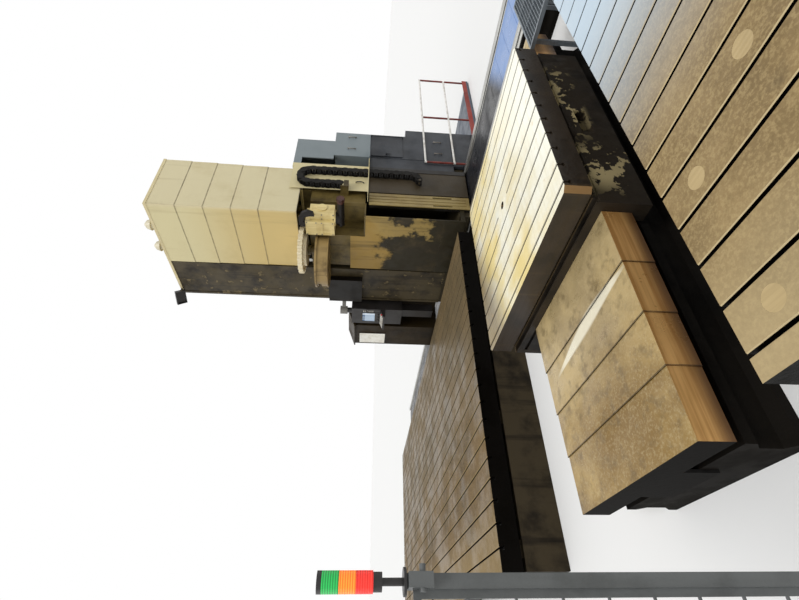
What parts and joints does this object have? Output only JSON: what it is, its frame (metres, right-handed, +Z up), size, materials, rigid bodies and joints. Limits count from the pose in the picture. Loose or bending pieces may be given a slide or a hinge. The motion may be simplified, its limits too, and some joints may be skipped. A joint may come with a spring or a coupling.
{
  "type": "cnc machining center",
  "caption": "Travelling-column horizontal milling machine with tool disc, telescopic covers, rotary table, T-slotted floor plates and console.",
  "frame": {"origin": "on the floor, straight under the axis of the rotary table, on the foot of the table bed", "axes": "+X along the long bed of the column, +Y from the table towards the column, +Z up, out of the table's face"},
  "size_m": [18.4995, 12.295, 6.53],
  "materials": {
    "left_plate_iron": "worn, oil-stained",
    "right_plate_iron": "worn, mottled",
    "plug_steel": "satin",
    "support_iron": "dull",
    "bed_iron": "dull",
    "rail_steel": "ground",
    "saddle_paint": "chipped",
    "table_steel": "ground, bright",
    "cover_steel": "oily",
    "band_blue": "satin",
    "column_paint": "worn",
    "guard_sheet": "patchy",
    "cover_cream": "aged satin",
    "low_cover_paint": "stained",
    "pillar_cream": "aged satin",
    "side_dark": "satin",
    "chain_black": "matte",
    "headstock_ochre": "aged satin",
    "head_cream": "satin",
    "nose_black": "satin",
    "spindle_steel": "oxidised",
    "disc_cream": "satin",
    "cabinet_blue": "satin",
    "platform_grey": "satin",
    "handrail_steel": "bright",
    "cabinet_brown": "worn",
    "console_black": "satin",
    "boom_grey": "satin",
    "key_plastic": "matte",
    "stop_red": "gloss",
    "fence_grey": "satin",
    "lamp_green": "translucent",
    "lamp_amber": "translucent",
    "lamp_red": "translucent",
    "grating_steel": "galvanised"
  },
  "bodies": {
    "foundation": {"left_floor_plates": "left_plate_iron", "right_floor_plates": "right_plate_iron", "plate_plugs": "plug_steel", "plate_supports": "support_iron", "machine_beds": "bed_iron", "way_rails": "rail_steel", "end_covers": "cover_steel", "x_way_band": "band_blue", "guard_fence": "fence_grey", "signal_tower": "console_black", "signal_green": "lamp_green", "signal_amber": "lamp_amber", "signal_red": "lamp_red", "walkway_grating": "grating_steel"},
    "saddle": {"saddle": "saddle_paint", "table_bearing": "rail_steel", "saddle_covers": "cover_steel"},
    "table": {"rotary_table": "table_steel"},
    "front_cover_2": {"front_cover_2": "cover_steel"},
    "front_cover_3": {"front_cover_3": "cover_steel"},
    "rear_cover_2": {"rear_cover_2": "cover_steel"},
    "rear_cover_3": {"rear_cover_3": "cover_steel"},
    "column": {"column_base": "column_paint", "column_tower": "column_paint", "front_guard": "guard_sheet", "top_cap": "cover_cream", "vertical_rails": "rail_steel", "top_vents": "cover_cream", "floodlight": "console_black", "upper_cover_1": "cover_cream", "lower_cover_c": "low_cover_paint", "way_pillar": "pillar_cream", "side_cover": "side_dark", "chain_panel": "cover_cream", "cable_chain": "chain_black", "rear_cabinets": "cabinet_blue", "rear_platform": "platform_grey", "handrail": "handrail_steel", "operator_cabinet": "cabinet_brown"},
    "headstock": {"headstock": "headstock_ochre", "magazine_tray": "headstock_ochre", "upper_cover_5": "cover_cream", "lower_cover_a": "headstock_ochre"},
    "upper_cover_2": {"upper_cover_2": "cover_cream"},
    "upper_cover_3": {"upper_cover_3": "cover_cream"},
    "upper_cover_4": {"upper_cover_4": "cover_cream"},
    "lower_cover_b": {"lower_cover_b": "low_cover_paint"},
    "ram": {"ram": "rail_steel", "milling_head": "head_cream", "changer_arm": "nose_black"},
    "nose": {"head_nose": "nose_black"},
    "spindle": {"spindle": "spindle_steel"},
    "tool_disc": {"tool_disc": "disc_cream"},
    "boom": {"console_boom": "boom_grey"},
    "console": {"console": "console_black", "console_keys": "key_plastic"},
    "estop": {"estop_button": "stop_red"},
    "cabinet_door": {"cabinet_door": "cabinet_blue"}
  },
  "joints": [
    {"name": "x_travel", "type": "slide", "parent": "foundation", "child": "column", "axis": [1, 0, 0], "range_m": [-8, 3]},
    {"name": "z_travel", "type": "slide", "parent": "column", "child": "headstock", "axis": [0, 0, 1], "range_m": [-1.1, 0.1], "deforming": ["cable_chain"]},
    {"name": "upper_cover_4_slide", "type": "slide", "parent": "column", "child": "upper_cover_4", "axis": [0, 0, 1], "range_m": [-0.83, 0.08]},
    {"name": "upper_cover_3_slide", "type": "slide", "parent": "column", "child": "upper_cover_3", "axis": [0, 0, 1], "range_m": [-0.56, 0.06]},
    {"name": "upper_cover_2_slide", "type": "slide", "parent": "column", "child": "upper_cover_2", "axis": [0, 0, 1], "range_m": [-0.28, 0.03]},
    {"name": "lower_cover_b_slide", "type": "slide", "parent": "column", "child": "lower_cover_b", "axis": [0, 0, 1], "range_m": [-0.72, 0.07]},
    {"name": "ram_travel", "type": "slide", "parent": "headstock", "child": "ram", "axis": [0, -1, 0], "range_m": [0, 0.45]},
    {"name": "head_swivel", "type": "hinge", "parent": "ram", "child": "nose", "pos_m": [-2.93, 2.9, 2.95], "axis": [0, 0, 1], "range_deg": [-135, 20]},
    {"name": "spindle_spin", "type": "hinge", "parent": "nose", "child": "spindle", "pos_m": [-2.93, 2.9, 2.86], "axis": [1, 0, 0], "continuous": true},
    {"name": "disc_spin", "type": "hinge", "parent": "headstock", "child": "tool_disc", "pos_m": [-3.61, 2.7, 3.5], "axis": [0, 0, 1], "continuous": true},
    {"name": "saddle_travel", "type": "slide", "parent": "foundation", "child": "saddle", "axis": [0, 1, 0], "range_m": [-1, 0]},
    {"name": "front_cover_3_slide", "type": "slide", "parent": "foundation", "child": "front_cover_3", "axis": [0, 1, 0], "range_m": [-0.67, 0]},
    {"name": "front_cover_2_slide", "type": "slide", "parent": "foundation", "child": "front_cover_2", "axis": [0, 1, 0], "range_m": [-0.34, 0]},
    {"name": "rear_cover_2_slide", "type": "slide", "parent": "foundation", "child": "rear_cover_2", "axis": [0, 1, 0], "range_m": [-0.67, 0]},
    {"name": "rear_cover_3_slide", "type": "slide", "parent": "foundation", "child": "rear_cover_3", "axis": [0, 1, 0], "range_m": [-0.34, 0]},
    {"name": "table_rotation", "type": "hinge", "parent": "saddle", "child": "table", "pos_m": [0, 0, 0.8], "axis": [0, 0, 1], "continuous": true},
    {"name": "boom_swivel", "type": "hinge", "parent": "column", "child": "boom", "pos_m": [-5.29, 2.935, 2.8], "axis": [0, 0, 1], "range_deg": [0, 15]},
    {"name": "console_swivel", "type": "hinge", "parent": "boom", "child": "console", "pos_m": [-5.53, 2.715, 2.7], "axis": [0, 0, 1], "range_deg": [-15, 15]},
    {"name": "estop_press", "type": "slide", "parent": "console", "child": "estop", "axis": [0, 0.3607, -0.9327], "range_m": [0, 0.004], "stiffness_N_per_m": 800},
    {"name": "door_swing", "type": "hinge", "parent": "column", "child": "cabinet_door", "pos_m": [-2.69, 5.26, 2], "axis": [0, 0, 1], "range_deg": [0, 110]}
  ],
  "couplings": [
    {"joint": "upper_cover_4_slide", "follows": "z_travel", "ratio": 0.75},
    {"joint": "upper_cover_3_slide", "follows": "z_travel", "ratio": 0.5},
    {"joint": "upper_cover_2_slide", "follows": "z_travel", "ratio": 0.25},
    {"joint": "lower_cover_b_slide", "follows": "z_travel", "ratio": 0.65},
    {"joint": "front_cover_3_slide", "follows": "saddle_travel", "ratio": 0.6667},
    {"joint": "front_cover_2_slide", "follows": "saddle_travel", "ratio": 0.3333},
    {"joint": "rear_cover_2_slide", "follows": "saddle_travel", "ratio": 0.6667},
    {"joint": "rear_cover_3_slide", "follows": "saddle_travel", "ratio": 0.3333}
  ]
}
